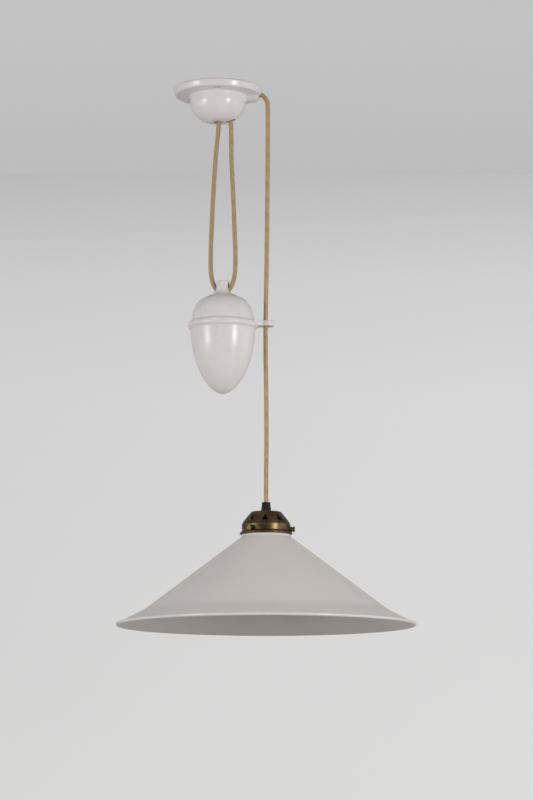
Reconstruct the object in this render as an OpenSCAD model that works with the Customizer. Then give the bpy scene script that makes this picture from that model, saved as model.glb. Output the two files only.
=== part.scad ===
// Rise and fall pendant: a porcelain ceiling rose with a pulley, a porcelain counterweight that
// hangs in a loop of braided flex, and an opal glass coolie shade on a brass gallery.
// The origin is the centre of the rose's ceiling face, +Z up, with the spout towards +X.
// Places that read "drop" are measured downwards from the ceiling.

/* [Flex] */
// Diameter of the round braided flex
cord_d = 6.2; // [5.6:0.1:6.4]
// Gap between the flex and a wheel that it runs over
cord_gap = 0.3; // [0.2:0.05:0.5]

/* [Ceiling rose] */
// Diameter of the rose's plate
rose_d = 121; // [114:1:134]
// Thickness of the plate at its edge
plate_t = 10; // [9:0.5:11]
// Radius that rounds the plate's upper edge
plate_top_r = 2; // [1:0.5:3]
// Radius that rounds the plate's lower edge
plate_low_r = 2.5; // [1.5:0.5:3.5]
// How much the plate's side leans inwards towards its lower edge
plate_lean = 1.2; // [0.2:0.2:2]
// How much deeper the plate is where it meets the bowl
plate_slope = 0.25; // [0:0.25:2]
// Diameter of the bowl
bowl_d = 76; // [75:0.5:79]
// Depth of the bowl below the ceiling
bowl_depth = 47; // [46:0.5:52]
// Radius that rounds the bowl's side into its bottom
bowl_round = 29; // [28:0.5:30]
// Radius of the hollow fillet between plate and bowl
bowl_fillet = 2.5; // [1.5:0.5:5]
// Porcelain wall of the bowl
rose_wall = 3; // [2.5:0.25:3.5]
// Outer diameter of the side spout
spout_d = 19; // [17:0.5:21]
// Diameter of the spout's bore
spout_bore_d = 9.4; // [8.5:0.2:11]
// Drop of the spout's axis
spout_drop = 9.2; // [9:0.1:9.6]
// Distance of the spout's mouth from the rose's axis, at the top of the mouth
spout_reach = 59; // [57:0.5:60]
// Slant of the spout's mouth, in degrees
mouth_slant = 15; // [0:1:18]
// Diameter of the two flex holes in the bowl
cord_hole_d = 11.4; // [9:0.2:12]
// Distance between the two ceiling screws
screw_spacing = 92; // [90:1:94]
// Diameter of a ceiling screw
screw_d = 4.2; // [3.5:0.1:5]
// Diameter of a ceiling screw's head
screw_head_d = 9; // [7:0.25:9.5]
// Height of a ceiling screw's head
screw_head_h = 2.4; // [1.8:0.1:3]
// Depth of a ceiling screw's head inside the plate
screw_sink = 1; // [0.5:0.1:2]
// Length of screw that stands in the ceiling
screw_reach = 30; // [20:1:45]

/* [Rose fittings] */
// Width of the steel strap that lies in the rose
strap_w = 24; // [22:0.5:26]
// Length of the strap
strap_l = 80; // [76:1:84]
// Thickness of the strap and its folded tabs
strap_t = 1.5; // [1.2:0.1:2]
// Depth of the rebate that takes the strap
strap_drop = 3; // [2.5:0.1:3.2]
// Groove diameter of the rose pulley
pulley_groove_d = 14.2; // [13:0.1:14.6]
// Flange diameter of the rose pulley
pulley_d = 17.6; // [16.8:0.1:18.4]
// Width of the rose pulley
pulley_w = 10; // [9:0.2:11]
// Diameter of the pulley's pin
pin_d = 4; // [3:0.1:5]
// Length of the porcelain terminal block
block_l = 30; // [26:0.5:32]
// Width of the terminal block
block_w = 13; // [11:0.5:14]
// Height of the terminal block
block_h = 13; // [11:0.5:15]
// Diameter of a brass terminal tube
terminal_d = 5; // [4:0.1:5.6]
// Diameter of a terminal screw
terminal_screw_d = 2.6; // [2:0.1:3]
// Distance between two terminals
terminal_pitch = 8; // [7:0.1:8.4]
// Height of the flex clamp's bar
clamp_h = 8; // [6:0.5:10]
// Thickness of the flex clamp's bar
clamp_t = 2.4; // [1.6:0.1:3]
// Diameter of the small machine screws
small_screw_d = 3; // [2.5:0.1:3.2]

/* [Counterweight] */
// Distance of the counterweight's axis from the rose's axis
weight_x = 7.5; // [6:0.5:8.5]
// Drop of the top of the neck
neck_drop = 267.7; // [255:0.5:280]
// Height of the neck above the cap's crown
neck_h = 19.4; // [18.6:0.1:20.2]
// Diameter of the neck
neck_d = 19; // [18:0.25:21]
// Turn of the neck about the vertical axis, in degrees
neck_turn = 12; // [6:1:18]
// Porcelain over the tunnel
bridge_t = 3.5; // [3:0.1:3.8]
// Width of the tunnel through the neck
tunnel_w = 9; // [8:0.2:10]
// Height of the tunnel
tunnel_h = 16.5; // [16:0.1:17]
// Waist diameter of the roller in the neck
roller_waist_d = 7.2; // [6.6:0.1:7.6]
// End diameter of the roller
roller_d = 9; // [8.4:0.1:9.4]
// Diameter of the roller's pin
roller_pin_d = 3; // [2.4:0.1:3.4]
// Height of the domed cap above its seam
cap_h = 36.6; // [33:0.2:40]
// Diameter of the cap at its seam
cap_d = 84; // [82:0.2:86]
// Porcelain wall of cap and cup
weight_wall = 4.2; // [4:0.1:5]
// Outer diameter of the bead
bead_d = 95; // [93:0.5:97]
// Height of the bead
bead_t = 11; // [9:0.2:12]
// Diameter of the cup below the bead
cup_d = 87.6; // [86:0.4:89]
// Length of the cup below the middle of the bead
cup_len = 93.8; // [88:0.2:98]
// Length of the cap's spigot inside the cup
spigot_h = 8; // [6:0.5:12]
// Cement between spigot and cup
cement_t = 0.8; // [0.5:0.1:1.2]
// Depth that the shot leaves empty below the seam
shot_gap = 2; // [0.4:0.1:7]
// Distance of the guide ring's hole from the counterweight's axis
ring_reach = 59.7; // [59:0.1:60.4]
// Outer diameter of the guide ring
ring_d = 20.6; // [20:0.2:24]
// Diameter of the guide ring's hole
ring_hole_d = 12; // [11.4:0.2:13]
// Thickness of the guide ring and its arm
ring_t = 7.2; // [5.6:0.2:8]
// Height of the ring's middle above the bead's middle
ring_up = 2.4; // [0:0.2:3]
// Width of the arm where it leaves the bead
arm_w = 30; // [24:1:36]

/* [Lamp] */
// Distance of the lamp's axis from the rose's axis
lamp_x = 66; // [65.6:0.1:66.4]
// Drop of the top of the flex grip
grip_drop = 570; // [556:1:600]
// Height of the flex grip above the gallery
grip_h = 12.8; // [11:0.2:15]
// Diameter of the grip's top
grip_top_d = 11.2; // [10.4:0.2:13]
// Diameter of the grip's foot
grip_foot_d = 13.8; // [13:0.2:16]
// Outer diameter of the hollow threaded stem
stem_d = 10; // [9.4:0.1:10.2]
// Length of the stem below the gallery
stem_h = 11; // [9:0.5:12]

/* [Gallery] */
// Diameter of the flat top
gallery_top_d = 40; // [38:0.5:42]
// Diameter of the straight skirt
gallery_d = 65.4; // [64:0.2:67]
// Height of the sloping shoulder
slope_h = 16; // [14:0.5:17]
// Height of the gallery down to its flange
gallery_h = 27; // [26:0.5:28]
// Outer diameter of the flange
flange_d = 70.4; // [69.5:0.2:73]
// Height of the flange
flange_h = 3.8; // [3:0.1:4]
// Thickness of the brass
brass_t = 1; // [0.8:0.1:1.2]
// Number of vents
vents = 9; // [6:1:10]
// Turn of the first vent from the front, in degrees
vent_turn = 2.6; // [-6:0.2:6]
// Radius of a vent's lobe
vent_lobe_r = 1.8; // [1.4:0.05:1.9]
// Turn of the first thumbscrew from the front, in degrees
thumbscrew_turn = -36; // [-40:1:-32]
// Diameter of a thumbscrew's thread
thumbscrew_d = 3.2; // [2.6:0.1:3.4]
// Diameter of a thumbscrew's knob
knob_d = 7.4; // [6:0.2:8]
// Thickness of a thumbscrew's knob
knob_t = 2.4; // [2:0.1:3.4]
// How far a tightened thumbscrew's knob stands off the skirt
knob_gap = 3.4; // [3:0.1:4.4]
// Diameter of the tapped boss round a thumbscrew
boss_d = 7; // [5.8:0.1:7.2]
// Height of the tapped boss
boss_t = 2.6; // [1.6:0.1:2.9]

/* [Lampholder] */
// Outer diameter of the lampholder
holder_d = 39; // [37:0.5:41]
// Wall of the lampholder's cap and shell
holder_wall = 2; // [1.6:0.1:2.4]
// Height of the lampholder's cap below the gallery
holder_cap_h = 19; // [18:0.5:21]
// Length of the lampholder's shell below its cap
holder_shell_h = 36; // [34:0.5:40]
// Height of the porcelain insert
insert_h = 11; // [10:0.5:12]
// Bore of the lamp thread
thread_bore_d = 26.6; // [26.4:0.1:26.9]
// Length of the lamp thread's sleeve
thread_h = 23; // [20:0.5:25]
// Thickness of the sleeve and the contacts
sheet_t = 0.6; // [0.5:0.1:0.8]

/* [Shade] */
// Diameter of the shade's rim
shade_d = 400; // [380:2:420]
// Diameter where the cone turns into the flared brim
knee_d = 326; // [310:2:340]
// Height of the brim
brim_h = 20.6; // [17:0.2:24]
// Diameter where the cone starts under the gallery
shoulder_d = 66.4; // [65:0.2:68]
// Height of the cone
cone_h = 98.4; // [90:0.4:108]
// Height from the gallery's foot to the start of the cone
shoulder_h = 3; // [2.6:0.1:4]
// Diameter of the lip that the thumbscrews hold
lip_d = 60; // [58.6:0.2:61]
// Height of the lip
lip_h = 3.4; // [3:0.1:3.8]
// Diameter of the neck below the lip
glass_neck_d = 55; // [54:0.2:56]
// Thickness of the glass
glass_t = 2.9; // [2.6:0.1:3.6]
// Diameter of the bead along the rim
rim_bead_d = 4.2; // [3.8:0.1:5]

/* [Hidden] */

$fn = 96;
small_fn = 32;
eps = 0.1;
fit = 0.05;
play = 0.3;
thumbscrews = 3;

white = [0.93, 0.92, 0.90];
steel = [0.66, 0.67, 0.69];
brass = [0.46, 0.36, 0.20];
bright_brass = [0.80, 0.66, 0.36];
flex = [0.66, 0.55, 0.38];
black = [0.10, 0.10, 0.10];
lead = [0.42, 0.43, 0.45];
opal = [0.90, 0.88, 0.86];
brown = [0.42, 0.24, 0.12];
blue = [0.12, 0.30, 0.66];
green = [0.30, 0.60, 0.20];

cord_r = cord_d / 2;

// Rose
bowl_r = bowl_d / 2;
cavity_r = bowl_r - rose_wall;
plate_deep = plate_t + plate_slope;
screw_seat = screw_sink + screw_head_h - plate_deep;
hole_1_x = 1.4;
hole_2_x = 17.6;
screw_ys = [-screw_spacing / 2, screw_spacing / 2];
strap_z = -strap_drop;
turn_r = pulley_groove_d / 2 + cord_gap + cord_r;
pulley_x = cavity_r - pulley_d / 2 - 0.7;
pulley_z = -spout_drop - turn_r;
ear_y = pulley_w / 2 + 0.5;
ear_w = 13;
ear_z = pulley_z - pin_d / 2 - 3;
tab_x = hole_1_x - cord_r - strap_t;
clamp_z = -17;
clamp_w = 18;
clamp_screw_y = 6;
rose_flex_top = -10;
rose_flex_foot = -24;
block_x = -20;
core_r = 0.95;

// The loop through the neck, in the neck's own plane: [across, above the neck's top]
loop_route = [
    [-17.2, 24], [-16.8, 13], [-15.2, 2.2], [-11.8, -7.6], [-6.4, -13.5],
    [0, -15.3], [6.4, -13.5], [11.8, -7.6], [15.2, 2.2], [16.8, 13], [17.2, 24]
];

// Flex routes, chosen by hand: [x, y, z]
fixed_route = [
    [1.4, 0, -24], [1.4, 0, -40], [0.6, 0, -58], [-1, 0.2, -76], [-2.9, 0.5, -96],
    [-4.3, 0.9, -118], [-5.7, 1.4, -141], [-6.8, 1.9, -163], [-7.7, 2.4, -185],
    [-8.6, 2.9, -206], [-9.2, 3.4, -226], loop_end(-1)
];
running_route = [
    [15, 0, -19.7], [16, 0, -36], [18, 0, -54], [18.4, -0.1, -74], [18.7, -0.3, -96],
    [19.5, -0.7, -118], [20.8, -1.2, -141], [21.8, -1.8, -163], [22.6, -2.4, -185],
    [23.4, -2.9, -206], [24.2, -3.4, -226], loop_end(1)
];
drop_route = [
    [68.3, 0, -24], [68.3, 0, -60], [68.2, 0, -100], [67.8, 0, -140], [67.4, 0, -180],
    [67, 0, -220], [66.5, 0, -260], [65.7, 0, -300], [65.3, 0, -340], [65.5, 0, -380],
    [66.1, 0, -420], [66.5, 0, -460], [66.5, 0, -496], [66.1, 0, -530], [lamp_x, 0, -552],
    [lamp_x, 0, -grip_drop]
];
mouth_foot = -24;

// The flex leaves the spout: [x, above the spout's axis]
mouth_lift = spout_bore_d / 2 - cord_r - 0.1;
mouth_route = [
    [35, 0.4], [45, mouth_lift - 0.1], [52, mouth_lift], [57, mouth_lift - 0.3], [61.5, -0.2],
    [64.6, -3.2], [66.9, -7.4], [68, -11.3], [68.3, mouth_foot + spout_drop]
];

// Counterweight
bead_r = bead_t / 2;
cap_top_z = -neck_drop - neck_h;
seam_z = cap_top_z - cap_h;
bead_z = seam_z - bead_r;
spigot_z = seam_z - spigot_h;
cup_in_r = cup_d / 2 - weight_wall;
neck_r = neck_d / 2;
tunnel_top = -neck_drop - bridge_t;
tunnel_floor = tunnel_top - tunnel_h;
roller_z = tunnel_top - roller_d / 2 - play;
roller_w = tunnel_w - 2 * play;
cap_in_h = tunnel_floor - weight_wall - seam_z;
spigot_in_r = cap_d / 2 - weight_wall - 3;
cup_bulge = 2.05;
cup_power = 0.575;
cap_bulge = 2.3;
cap_power = 0.3675;
neck_flare = 12;

// Lamp
gallery_z = -grip_drop - grip_h;
skirt_r = gallery_d / 2;
slope_r = skirt_r - 3;
gallery_foot = gallery_z - gallery_h - flange_h;
thumbscrew_z = gallery_z - gallery_h + 3.4;
lip_foot = thumbscrew_z + thumbscrew_d / 2 + play;
lip_top = lip_foot + lip_h;
shoulder_z = gallery_foot - shoulder_h;
knee_z = shoulder_z - cone_h;
rim_z = knee_z - brim_h;
thread_r = thread_bore_d / 2;
holder_r = holder_d / 2;
holder_top = gallery_z - brass_t;
holder_seam = gallery_z - holder_cap_h;
holder_foot = holder_seam - holder_shell_h;
insert_top = holder_seam + 2.5;
insert_foot = insert_top - insert_h;
contact_z = insert_foot + 2.6;
insert_r = holder_r - holder_wall - fit;
thread_foot = insert_foot - thread_h;

function arc(cx, cy, r, from, to, n) = [
    for (i = [0 : n])
        let (a = from + (to - from) * i / n)
            [cx + r * cos(a), cy + r * sin(a)]
];

// Points on a bulging curve from radius r at z to the axis, h away
function bulge(r, z, h, p, q, n) = [
    for (i = [0 : n])
        let (t = sin(90 * i / n))
            [r * pow(1 - pow(t, p), q), z + h * t]
];

function unit(v) = v / norm(v);

function mix(a, b, t) = a + (b - a) * t;

// Curve from a to c that heads for b
function bend(a, b, c, n) = [for (i = [0 : n]) mix(mix(a, b, i / n), mix(b, c, i / n), i / n)];

// Where the loop ends on one side of the neck
function loop_end(side) =
    let (end = loop_route[0])
        [
            weight_x - side * end[0] * cos(neck_turn),
            side * end[0] * sin(neck_turn),
            end[1] - neck_drop
        ];

// A line moved sideways, to the left of its direction, by t
function beside(p, t) = [
    for (i = [0 : len(p) - 1])
        let (d = unit(p[min(i + 1, len(p) - 1)] - p[max(i - 1, 0)])) p[i] + t * [-d[1], d[0]]
];

// Curve through the points, with n steps from each to the next
function spline(p, n) = [
    for (i = [0 : len(p) - 2])
        let (
            a = p[max(i - 1, 0)],
            b = p[i],
            c = p[i + 1],
            d = p[min(i + 2, len(p) - 1)]
        )
            for (j = [0 : n - 1])
                let (t = j / n)
                    (2 * b + (c - a) * t + (2 * a - 5 * b + 4 * c - d) * t * t
                        + (3 * b - a - 3 * c + d) * t * t * t) / 2,
    p[len(p) - 1]
];

function heading(p, i, first, last) =
    i == 0 ? first : i == len(p) - 1 ? last : unit(p[i + 1] - p[i - 1]);

// A round tube along the points; its two end faces are square to first and last
module tube(p, r, first, last, sides = 10) {
    rings = [
        for (i = [0 : len(p) - 1])
            let (
                along = heading(p, i, first, last),
                across = unit(cross(along, [0, 1, 0])),
                up = cross(across, along)
            )
                for (k = [0 : sides - 1])
                    p[i] + r * (cos(360 * k / sides) * across + sin(360 * k / sides) * up)
    ];
    end = len(p) * sides;
    polyhedron(
        rings,
        concat(
            [[for (k = [0 : sides - 1]) k]],
            [
                for (i = [0 : len(p) - 2])
                    for (k = [0 : sides - 1])
                        [
                            i * sides + k,
                            (i + 1) * sides + k,
                            (i + 1) * sides + (k + 1) % sides,
                            i * sides + (k + 1) % sides
                        ]
            ],
            [[for (k = [sides - 1 : -1 : 0]) end - sides + k]]
        )
    );
}

module at_weight() {
    translate([weight_x, 0, 0]) children();
}

module at_lamp() {
    translate([lamp_x, 0, 0]) children();
}

// Cylinder along Y, between two places
module rod_y(x, z, r, from, to) {
    translate([x, from, z]) rotate([-90, 0, 0]) cylinder(r = r, h = to - from, $fn = small_fn);
}

// Cylinder along X, between two places
module rod_x(y, z, r, from, to) {
    translate([from, y, z]) rotate([0, 90, 0]) cylinder(r = r, h = to - from, $fn = small_fn);
}

// ---- Ceiling rose ----

module rose_outline() {
    fillet_x = bowl_r + bowl_fillet;
    polygon(concat(
        [[0, 0]],
        arc(rose_d / 2 - plate_top_r, -plate_top_r, plate_top_r, 90, 0, 6),
        arc(rose_d / 2 - plate_lean - plate_low_r, plate_low_r - plate_t, plate_low_r, -8, -90, 7),
        arc(fillet_x, -plate_deep - bowl_fillet, bowl_fillet, 90, 180, 8),
        arc(bowl_r - bowl_round, bowl_round - bowl_depth, bowl_round, 0, -90, 14),
        [[0, -bowl_depth]]
    ));
}

module rose_cavity() {
    round_r = bowl_round - rose_wall;
    polygon(concat(
        [[0, eps], [cavity_r, eps]],
        arc(bowl_r - bowl_round, bowl_round - bowl_depth, round_r, 0, -90, 14),
        [[0, rose_wall - bowl_depth]]
    ));
}

// The spout, from inside the bowl's wall to its slanted mouth
module spout_body() {
    intersection() {
        rod_x(0, -spout_drop, spout_d / 2, cavity_r - 1, spout_reach + spout_d);
        translate([spout_reach, 0, 0]) rotate([0, mouth_slant, 0])
            translate([-spout_d * 3, -spout_d, -spout_d * 2])
                cube([spout_d * 3, spout_d * 2, spout_d * 2.6]);
        translate([0, -spout_d, -spout_d * 2]) cube([spout_reach * 2, spout_d * 2, spout_d * 2]);
    }
}

module ceiling_rose() {
    color(white) difference() {
        union() {
            rotate_extrude() rose_outline();
            spout_body();
        }
        rotate_extrude() rose_cavity();
        rod_x(0, -spout_drop, spout_bore_d / 2, 0, rose_d);
        translate([hole_1_x - 1.2, 0, -bowl_depth - eps])
            cylinder(d = cord_hole_d, h = bowl_depth / 2, $fn = small_fn);
        translate([hole_2_x, 0, -bowl_depth - eps])
            cylinder(d = cord_hole_d, h = bowl_depth / 2, $fn = small_fn);
        translate([-strap_l / 2 - play, -strap_w / 2 - play, strap_z])
            cube([strap_l + 2 * play, strap_w + 2 * play, strap_drop + eps]);
        for (y = screw_ys)
            translate([0, y, -plate_t * 2])
                cylinder(r = screw_d / 2 + play, h = plate_t * 3, $fn = small_fn);
        for (y = screw_ys)
            translate([0, y, screw_seat - plate_t * 2])
                cylinder(r = screw_head_d / 2 + play, h = plate_t * 2, $fn = small_fn);
    }
}

// Two round-headed screws that hold the rose to the ceiling
module rose_screws() {
    head_z = screw_seat;
    shank_z = 0.2;
    color(steel) for (y = screw_ys) translate([0, y, 0]) {
        difference() {
            translate([0, 0, head_z - screw_head_h])
                cylinder(
                    d1 = screw_head_d * 0.7, d2 = screw_head_d, h = screw_head_h, $fn = small_fn
                );
            translate([-screw_head_d, -0.5, head_z - screw_head_h - eps])
                cube([screw_head_d * 2, 1, 1 + eps]);
        }
        translate([0, 0, head_z])
            cylinder(d = screw_d - 1, h = shank_z - head_z, $fn = small_fn);
        translate([0, 0, shank_z])
            cylinder(d = screw_d, h = screw_reach - shank_z - 5, $fn = small_fn);
        translate([0, 0, screw_reach - 5]) cylinder(d1 = screw_d, d2 = 0.6, h = 5, $fn = small_fn);
    }
}

// ---- Fittings inside the rose ----

// Folded steel strap with two ears for the pulley and a tab for the flex clamp
module rose_strap() {
    color(steel) difference() {
        union() {
            translate([-strap_l / 2, -strap_w / 2, strap_z]) cube([strap_l, strap_w, strap_t]);
            for (side = [-1, 1])
                translate([pulley_x - ear_w / 2, side > 0 ? ear_y : -ear_y - strap_t, ear_z])
                    cube([ear_w, strap_t, strap_z - ear_z + eps]);
            translate([tab_x, -clamp_w / 2, clamp_z - clamp_h / 2])
                cube([strap_t, clamp_w, strap_z - clamp_z + clamp_h / 2 + eps]);
        }
        rod_y(pulley_x, pulley_z, pin_d / 2 + fit, -strap_w, strap_w);
        translate([tab_x - 1, -6, strap_z - 6]) cube([strap_t + 2, 12, 5]);
        for (y = [-clamp_screw_y, clamp_screw_y])
            rod_x(y, clamp_z, small_screw_d / 2 + fit, tab_x - 1, tab_x + strap_t + 1);
        translate([block_x, 0, strap_z - 1])
            cylinder(r = small_screw_d / 2 + fit, h = strap_t + 2, $fn = small_fn);
        translate([10, -6, strap_z - 1]) cube([6, 12, strap_t + 2]);
    }
}

module rose_pulley() {
    color(bright_brass) translate([pulley_x, 0, pulley_z]) rotate([90, 0, 0])
        rotate_extrude() difference() {
            translate([pin_d / 2 + fit, -pulley_w / 2])
                square([pulley_d / 2 - pin_d / 2 - fit, pulley_w]);
            translate([turn_r, 0]) circle(r = cord_r + cord_gap, $fn = small_fn);
        }
}

module rose_pulley_pin() {
    end = ear_y + strap_t + 1;
    color(steel) {
        rod_y(pulley_x, pulley_z, pin_d / 2, -end, end);
        rod_y(pulley_x, pulley_z, pin_d * 0.8, -end - 1.2, -end + 0.7);
    }
}

// Bar that clamps the flex against the strap's tab
module flex_clamp_bar() {
    color(steel) difference() {
        translate([hole_1_x + cord_r, -clamp_w / 2, clamp_z - clamp_h / 2])
            cube([clamp_t, clamp_w, clamp_h]);
        for (y = [-clamp_screw_y, clamp_screw_y])
            rod_x(y, clamp_z, small_screw_d / 2 + fit, hole_1_x, hole_1_x + cord_d + clamp_t);
    }
}

module flex_clamp_screws() {
    head_x = hole_1_x + cord_r + clamp_t;
    color(steel) for (y = [-clamp_screw_y, clamp_screw_y]) {
        rod_x(y, clamp_z, small_screw_d / 2, tab_x - 1.5, head_x + 0.5);
        rod_x(y, clamp_z, small_screw_d * 0.9, head_x, head_x + 2);
        rod_x(y, clamp_z, small_screw_d * 0.85, tab_x - 2.2, tab_x);
    }
}

function terminal_ys() = [-terminal_pitch, 0, terminal_pitch];

module terminal_block() {
    color(white) difference() {
        translate([block_x - block_w / 2, -block_l / 2, strap_z - block_h])
            cube([block_w, block_l, block_h]);
        for (y = terminal_ys())
            rod_x(y, strap_z - block_h / 2 - 1, terminal_d / 2 + fit,
                block_x - block_w, block_x + block_w);
        for (y = terminal_ys(), x = [-3.5, 3.5])
            translate([block_x + x, y, strap_z - block_h - 1])
                cylinder(r = terminal_screw_d / 2 + play, h = block_h / 2 + 1, $fn = small_fn);
        translate([block_x, 0, strap_z - 3])
            cylinder(r = small_screw_d / 2 + fit, h = 4, $fn = small_fn);
    }
}

module terminal_tubes() {
    color(bright_brass) for (y = terminal_ys()) difference() {
        rod_x(y, strap_z - block_h / 2 - 1, terminal_d / 2, block_x - block_w / 2 + 0.5,
            block_x + block_w / 2 - 0.5);
        rod_x(y, strap_z - block_h / 2 - 1, terminal_d / 2 - 1, block_x - block_w,
            block_x + block_w);
        for (x = [-3.5, 3.5])
            translate([block_x + x, y, strap_z - block_h - 1])
                cylinder(d = terminal_screw_d + 2 * fit, h = block_h / 2, $fn = small_fn);
    }
}

module terminal_screws() {
    color(steel) for (y = terminal_ys(), x = [-3.5, 3.5])
        translate([block_x + x, y, strap_z - block_h + 0.5])
            cylinder(d = terminal_screw_d, h = block_h / 2 - 2.2, $fn = small_fn);
}

// Screw from above, through the strap into the terminal block
module terminal_block_screw() {
    color(steel) translate([block_x, 0, strap_z]) {
        translate([0, 0, -2.5]) cylinder(d = small_screw_d, h = strap_t + 2.5, $fn = small_fn);
        translate([0, 0, strap_t])
            cylinder(d = small_screw_d * 1.8, h = strap_drop - strap_t - 0.3, $fn = small_fn);
    }
}

// Clamped end of the flex inside the rose
module rose_flex_end() {
    color(flex) translate([hole_1_x, 0, rose_flex_foot])
        cylinder(r = cord_r - fit, h = rose_flex_top - rose_flex_foot, $fn = small_fn);
}

module rose_cores() {
    block_face = block_x + block_w / 2;
    core_z = strap_z - block_h / 2 - 1;
    for (i = [0 : 2])
        color([brown, green, blue][i])
            tube(
                [
                    [hole_1_x, (i - 1) * 2, rose_flex_top],
                    [hole_1_x - 2, (i - 1) * 3, strap_z - 4],
                    [tab_x - 3, (i - 1) * 3.6, strap_z - 4],
                    [(tab_x + block_face) / 2, (i - 1) * 6, (core_z + strap_z - 4) / 2],
                    [block_face + 1, terminal_ys()[i], core_z],
                    [block_face - 1.5, terminal_ys()[i], core_z]
                ],
                core_r, [0, 0, 1], [-1, 0, 0], 6
            );
}

// ---- Flex ----

module flex_over_pulley() {
    over = arc(pulley_x, pulley_z, turn_r, 180, 90, 6);
    mouth = [for (p = mouth_route) [p[0], p[1] - spout_drop]];
    color(flex) tube(
        [for (p = concat(over, mouth)) [p[0], 0, p[1]]],
        cord_r, [0, 0, 1], [0, 0, -1]
    );
}

module flex_fixed_strand() {
    color(flex) tube(fixed_route, cord_r, [0, 0, -1], [0, 0, -1]);
}

module flex_running_strand() {
    color(flex) tube(running_route, cord_r, [0, 0, -1], [0, 0, -1]);
}

module flex_drop() {
    color(flex) tube(spline(drop_route, 2), cord_r, [0, 0, -1], [0, 0, -1]);
}

module flex_weight_loop() {
    color(flex) at_weight() rotate([0, 0, -neck_turn])
        tube([for (p = loop_route) [p[0], 0, p[1] - neck_drop]], cord_r, [0, 0, -1], [0, 0, 1]);
}

// ---- Counterweight ----

module cap_outline() {
    polygon(concat(
        [[0, seam_z]],
        bulge(cap_d / 2, seam_z, cap_h, cap_bulge, cap_power, 20)
    ));
}

module neck_outline() {
    top = -neck_drop;
    flare_z = tunnel_floor + 11.2;
    polygon(concat(
        [[0, cap_top_z - 6], [0, top]],
        arc(neck_r - 2.5, top - 2, 2, 90, 0, 5),
        arc(neck_r + neck_flare, flare_z, neck_flare, 180, 258, 9),
        [[neck_r + neck_flare + 2, cap_top_z - 6]]
    ));
}

module weight_cap() {
    color(white) at_weight() difference() {
        union() {
            rotate_extrude() cap_outline();
            rotate_extrude() neck_outline();
            translate([0, 0, spigot_z])
                cylinder(r = cup_in_r - cement_t - fit, h = spigot_h + 1);
        }
        rotate_extrude() polygon(concat(
            [[0, seam_z]],
            bulge(spigot_in_r, seam_z, cap_in_h, cap_bulge, cap_power, 16)
        ));
        translate([0, 0, spigot_z - eps])
            cylinder(r = spigot_in_r, h = spigot_h + 2 * eps);
        rotate([0, 0, -neck_turn]) {
            translate([-neck_d, -tunnel_w / 2, tunnel_floor]) cube([neck_d * 2, tunnel_w, tunnel_h]);
            rod_y(0, roller_z, roller_pin_d / 2 + fit, -neck_r + 1.8, neck_d);
        }
    }
}

module cup_outline() {
    polygon(concat(
        [[0, seam_z], [bead_d / 2 - bead_r, seam_z], [cup_d / 2, bead_z]],
        bulge(cup_d / 2, bead_z, -cup_len, cup_bulge, cup_power, 24)
    ));
    translate([bead_d / 2 - bead_r, bead_z]) circle(r = bead_r, $fn = small_fn);
}

// The cup's inner line below the spigot, smaller by less
function cup_side(less) =
    let (straight_z = spigot_z - 1)
        concat(
            [[cup_in_r - less, spigot_z - less]],
            bulge(cup_in_r - less, straight_z, bead_z - cup_len + weight_wall + less - straight_z,
                cup_bulge, cup_power, 24)
        );

// Arm and ring that the running flex passes through
module guide_ring() {
    tip = ring_reach;
    root = bead_d / 2 - bead_r;
    translate([0, 0, bead_z + ring_up - ring_t / 2]) {
        translate([tip, 0, 0]) cylinder(d = ring_d, h = ring_t);
        linear_extrude(ring_t) polygon([
            [root, -arm_w / 2], [tip - ring_d / 4, -ring_d * 0.43],
            [tip - ring_d / 4, ring_d * 0.43], [root, arm_w / 2]
        ]);
    }
}

module weight_cup() {
    color(white) at_weight() difference() {
        union() {
            rotate_extrude() cup_outline();
            guide_ring();
        }
        rotate_extrude() polygon(concat(
            [[0, seam_z + eps], [cup_in_r, seam_z + eps]],
            cup_side(0)
        ));
        translate([ring_reach, 0, bead_z + ring_up - ring_t])
            cylinder(d = ring_hole_d, h = ring_t * 2, $fn = small_fn);
    }
}

// Cement that bonds the cap's spigot into the cup
module weight_cement() {
    inner = cup_in_r - cement_t;
    color([0.80, 0.78, 0.72]) at_weight() translate([0, 0, spigot_z]) difference() {
        cylinder(r = cup_in_r - fit, h = spigot_h - 1);
        translate([0, 0, -eps]) cylinder(r = inner, h = spigot_h);
    }
}

// Lead shot, poured into the cup
module weight_shot() {
    color(lead) at_weight() rotate_extrude() polygon(concat(
        [[0, seam_z - shot_gap], [spigot_in_r - fit, seam_z - shot_gap]],
        [[spigot_in_r - fit, spigot_z - fit]],
        cup_side(fit)
    ));
}

module weight_roller() {
    waist = roller_waist_d / 2;
    end = roller_d / 2;
    half = roller_w / 2;
    color(bright_brass) at_weight() rotate([0, 0, -neck_turn]) translate([0, 0, roller_z])
        rotate([90, 0, 0]) rotate_extrude($fn = small_fn) polygon([
            [roller_pin_d / 2 + fit, -half], [end, -half], [end, 0.6 - half], [waist, -1],
            [waist, 1], [end, half - 0.6], [end, half], [roller_pin_d / 2 + fit, half]
        ]);
}

module weight_roller_pin() {
    color(steel) at_weight() rotate([0, 0, -neck_turn])
        rod_y(0, roller_z, roller_pin_d / 2, -neck_r + 2, neck_r - 1);
}

// ---- Lamp ----

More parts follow.
